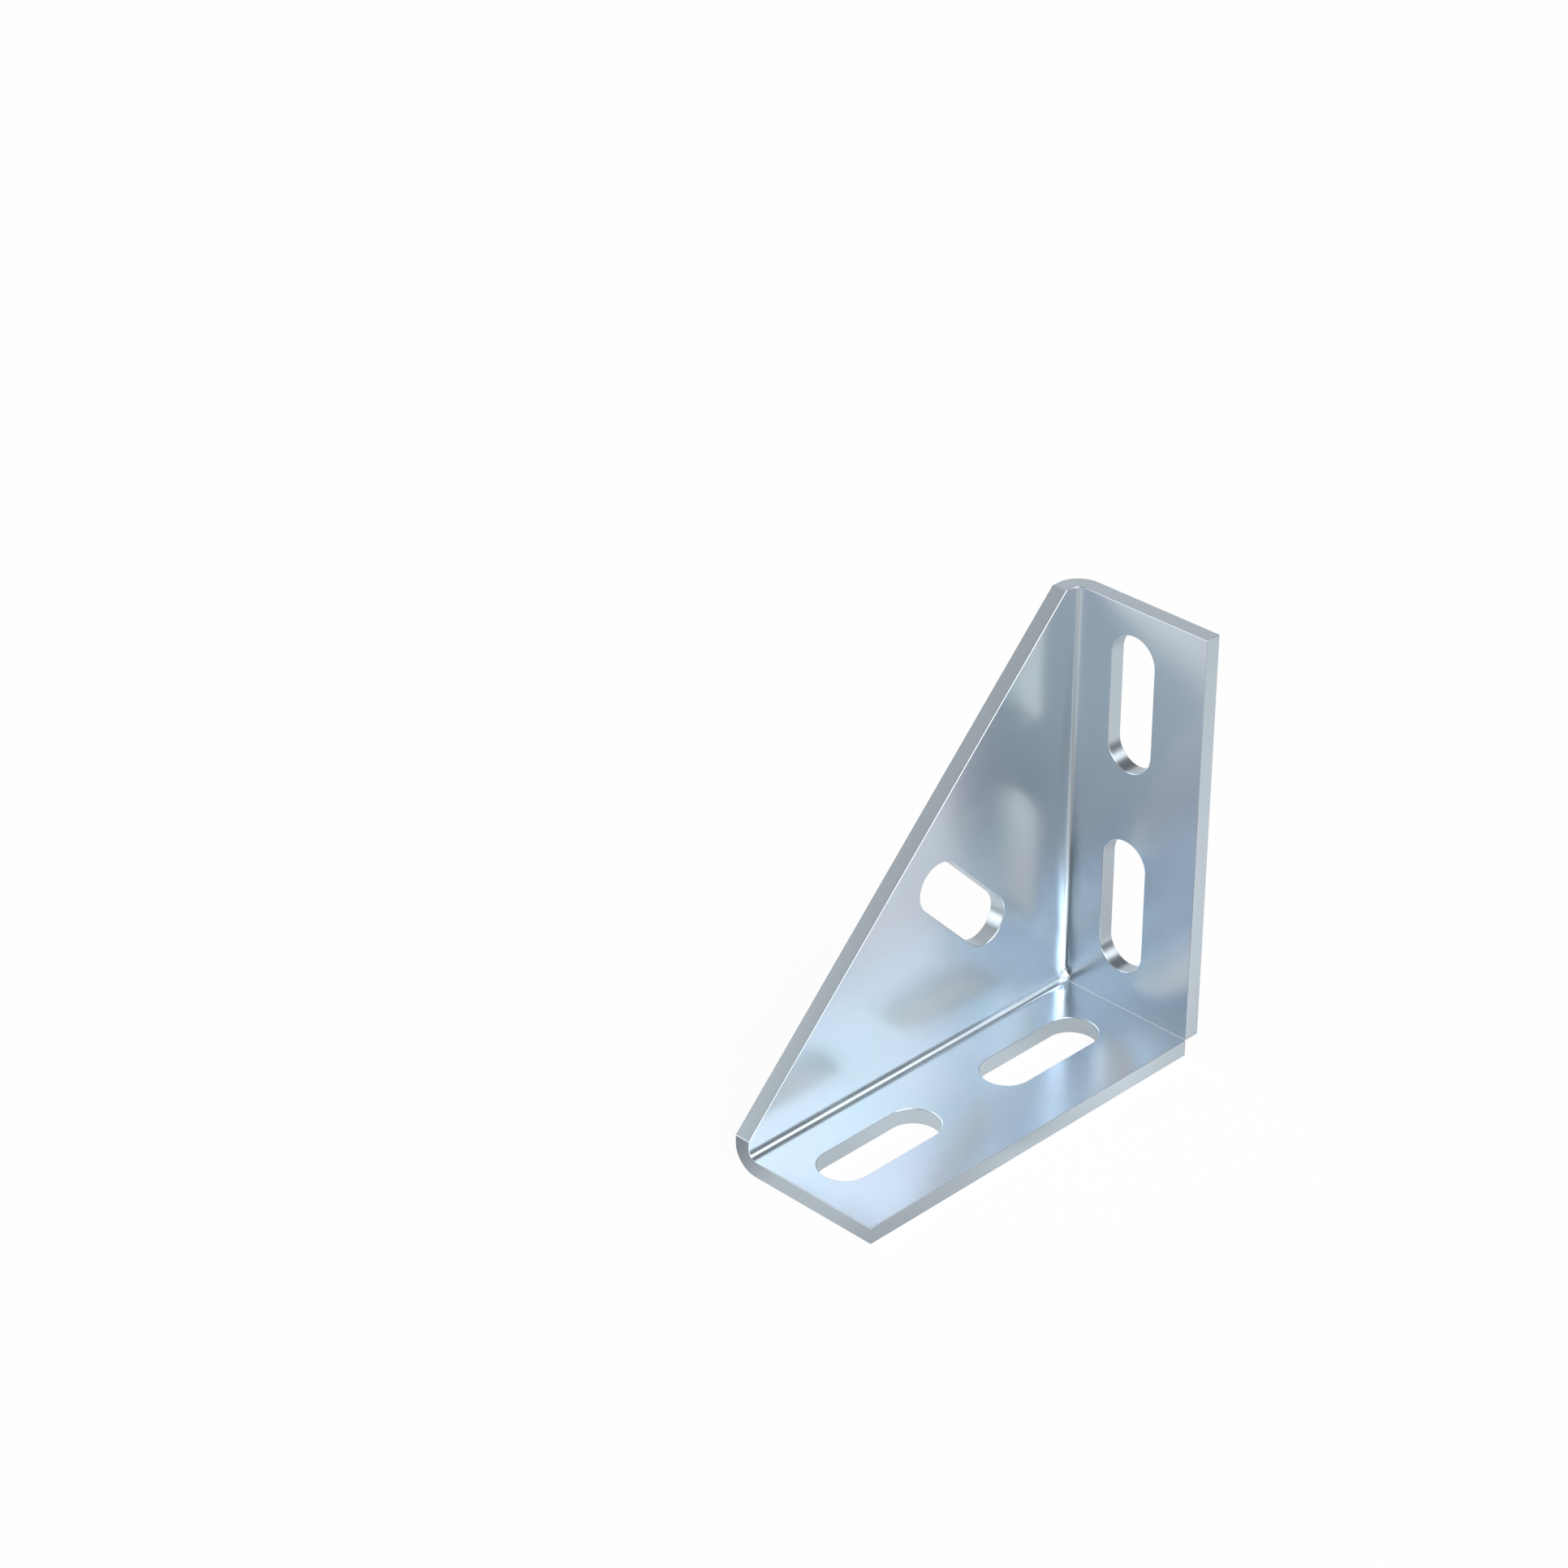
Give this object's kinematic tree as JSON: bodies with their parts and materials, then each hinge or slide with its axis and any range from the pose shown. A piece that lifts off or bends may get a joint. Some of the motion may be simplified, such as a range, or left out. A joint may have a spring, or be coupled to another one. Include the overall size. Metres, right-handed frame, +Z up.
{
  "type": "strut angle fitting",
  "caption": "Folded steel angle fitting with slotted legs at a right angle and a slotted triangular gusset web along one side.",
  "frame": {"origin": "middle of the bounding box at the foot's underside", "axes": "+Z up along the upright leg, +Y towards the upright leg's back face, +X from the web to the legs' free edges"},
  "size_m": [0.04, 0.104, 0.104],
  "materials": {
    "zinc_plated_steel": "bright zinc plate, satin to glossy"
  },
  "bodies": {
    "root": {"angle_fitting": "zinc_plated_steel"}
  },
  "joints": []
}
